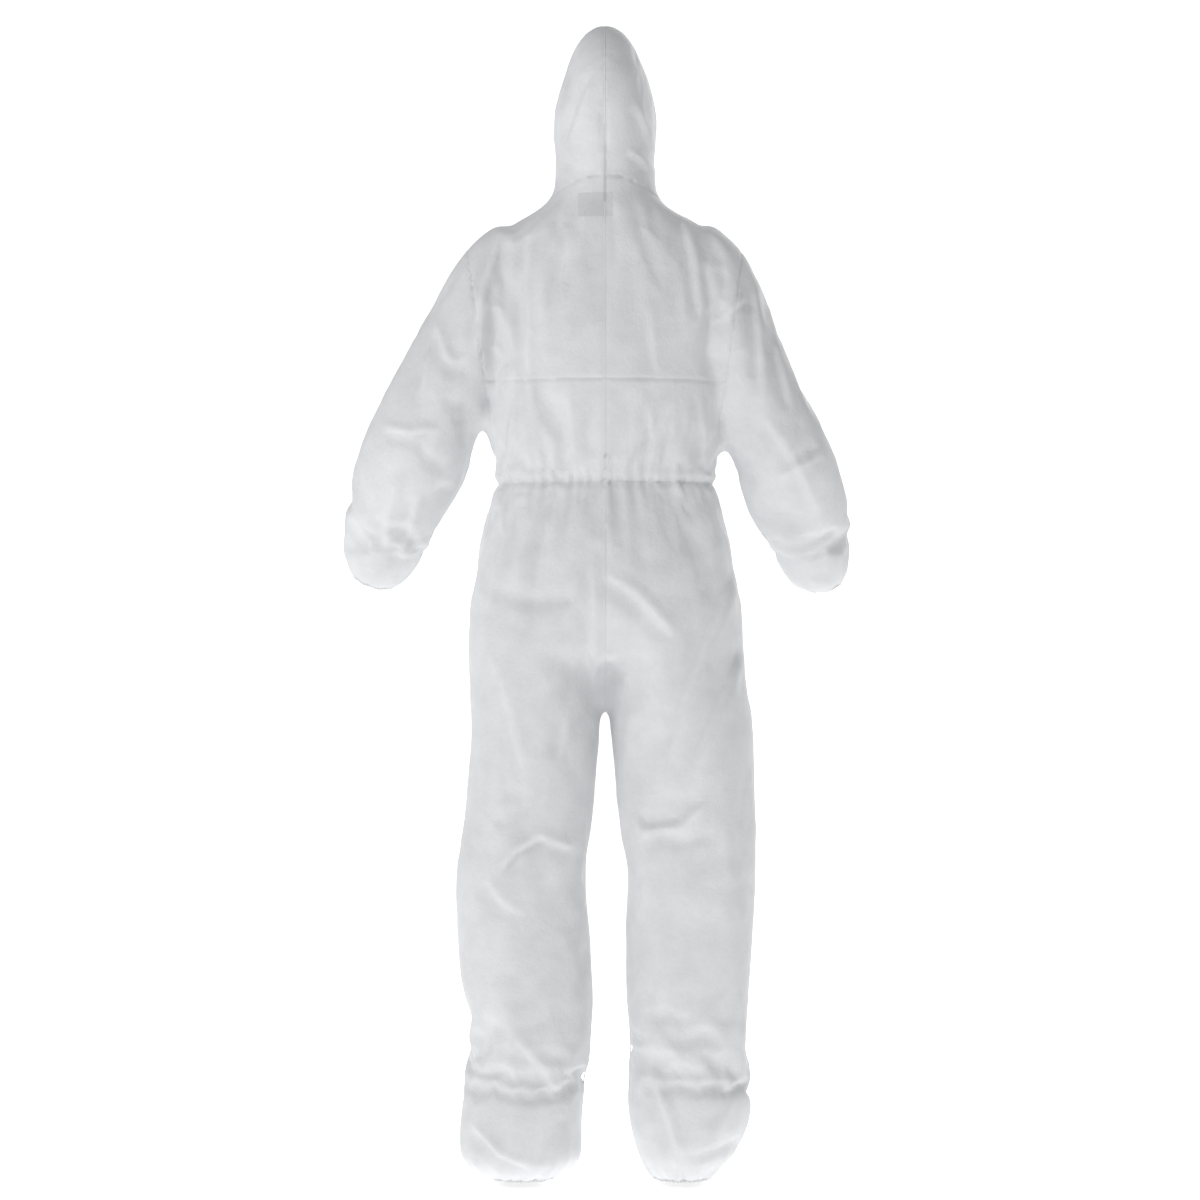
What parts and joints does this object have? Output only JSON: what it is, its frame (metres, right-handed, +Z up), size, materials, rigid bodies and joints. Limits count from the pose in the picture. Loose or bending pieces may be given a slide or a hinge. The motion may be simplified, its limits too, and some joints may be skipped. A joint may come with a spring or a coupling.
{
  "type": "hooded chemical protective coverall",
  "caption": "White hooded disposable protective coverall in its worn shape, with front zip and storm flap, gathered waist and elastic cuffs.",
  "frame": {"origin": "centre of the neck opening, where the hood is sewn to the body", "axes": "+Z up, the wearer faces -Y, the wearer's left hand is on the +X side"},
  "size_m": [0.8026, 0.2727, 1.7893],
  "materials": {
    "nonwoven": "soft matt nonwoven with a fine embossed grain",
    "seam_allowance": "overlocked nonwoven edge",
    "elastic": "covered elastic thread",
    "label": "smooth woven tape, blank",
    "zip_tape": "woven tape",
    "zip_coil": "moulded coil",
    "zip_metal": "white lacquer"
  },
  "bodies": {
    "torso": {"neck_seam": "seam_allowance", "size_label": "label", "back_yoke_left": "nonwoven", "back_yoke_right": "nonwoven", "lower_back_left": "nonwoven", "lower_back_right": "nonwoven", "seat_left": "nonwoven", "seat_right": "nonwoven", "front_left": "nonwoven", "front_right": "nonwoven", "trouser_front_left": "nonwoven", "trouser_front_right": "nonwoven", "centre_back_seam": "seam_allowance", "yoke_seam": "seam_allowance", "seat_seam": "seam_allowance", "crotch_seam": "seam_allowance", "side_seam_left": "seam_allowance", "side_seam_right": "seam_allowance", "waist_elastic": "elastic", "armhole_seam_left": "seam_allowance", "armhole_seam_right": "seam_allowance", "zip_tape_left": "zip_tape", "zip_tape_right": "zip_tape", "zip_teeth_left": "zip_coil", "zip_teeth_right": "zip_coil", "zip_top_stops": "zip_metal", "zip_bottom_stop": "zip_metal", "flap_seam": "nonwoven"},
    "hood": {"hood_left_panel": "nonwoven", "hood_right_panel": "nonwoven", "hood_centre_seam": "seam_allowance", "face_elastic": "elastic"},
    "zip_slider": {"zip_slider": "zip_metal"},
    "pull_tab": {"pull_tab": "zip_metal"},
    "storm_flap": {"storm_flap": "nonwoven"},
    "left_upper_sleeve": {"upper_sleeve_left": "nonwoven"},
    "left_lower_sleeve": {"lower_sleeve_left": "nonwoven", "sleeve_seam_left": "seam_allowance", "wrist_elastic_left": "elastic"},
    "left_thigh": {"thigh_left": "nonwoven", "thigh_inseam_left": "seam_allowance"},
    "left_shin": {"shin_left": "nonwoven", "shin_inseam_left": "seam_allowance", "ankle_elastic_left": "elastic"},
    "right_upper_sleeve": {"upper_sleeve_right": "nonwoven"},
    "right_lower_sleeve": {"lower_sleeve_right": "nonwoven", "sleeve_seam_right": "seam_allowance", "wrist_elastic_right": "elastic"},
    "right_thigh": {"thigh_right": "nonwoven", "thigh_inseam_right": "seam_allowance"},
    "right_shin": {"shin_right": "nonwoven", "shin_inseam_right": "seam_allowance", "ankle_elastic_right": "elastic"}
  },
  "joints": [
    {"name": "hood_tilt", "type": "hinge", "parent": "torso", "child": "hood", "pos_m": [0, 0, 0], "axis": [1, 0, 0], "range_deg": [-20, 20]},
    {"name": "left_shoulder", "type": "hinge", "parent": "torso", "child": "left_upper_sleeve", "pos_m": [0.15, 0, -0.125], "axis": [0, -1, 0], "range_deg": [0, 45]},
    {"name": "left_elbow", "type": "hinge", "parent": "left_upper_sleeve", "child": "left_lower_sleeve", "pos_m": [0.2696, 0, -0.38149], "axis": [-0.8943, 0.1625, -0.417], "range_deg": [-20, 50]},
    {"name": "right_shoulder", "type": "hinge", "parent": "torso", "child": "right_upper_sleeve", "pos_m": [-0.15, 0, -0.125], "axis": [0, 1, 0], "range_deg": [0, 45]},
    {"name": "right_elbow", "type": "hinge", "parent": "right_upper_sleeve", "child": "right_lower_sleeve", "pos_m": [-0.2696, 0, -0.38149], "axis": [-0.8943, -0.1625, 0.417], "range_deg": [-20, 50]},
    {"name": "left_hip", "type": "hinge", "parent": "torso", "child": "left_thigh", "pos_m": [0.107, 0, -0.7], "axis": [-1, 0, 0], "range_deg": [-15, 70]},
    {"name": "left_knee", "type": "hinge", "parent": "left_thigh", "child": "left_shin", "pos_m": [0.125, 0, -1.06], "axis": [1, 0, 0], "range_deg": [0, 75]},
    {"name": "right_hip", "type": "hinge", "parent": "torso", "child": "right_thigh", "pos_m": [-0.107, 0, -0.7], "axis": [-1, 0, 0], "range_deg": [-15, 70]},
    {"name": "right_knee", "type": "hinge", "parent": "right_thigh", "child": "right_shin", "pos_m": [-0.125, 0, -1.06], "axis": [1, 0, 0], "range_deg": [0, 75]},
    {"name": "zip_travel", "type": "slide", "parent": "torso", "child": "zip_slider", "axis": [0, -0.038, -0.9993], "range_m": [0, 0.572]},
    {"name": "tab_swing", "type": "hinge", "parent": "zip_slider", "child": "pull_tab", "pos_m": [0, -0.09406, -0.02788], "axis": [-1, 0, 0], "range_deg": [0, 150]},
    {"name": "flap_open", "type": "hinge", "parent": "torso", "child": "storm_flap", "pos_m": [0.029, -0.10897, -0.31752], "axis": [0, 0.038, 0.9993], "range_deg": [0, 160]}
  ]
}
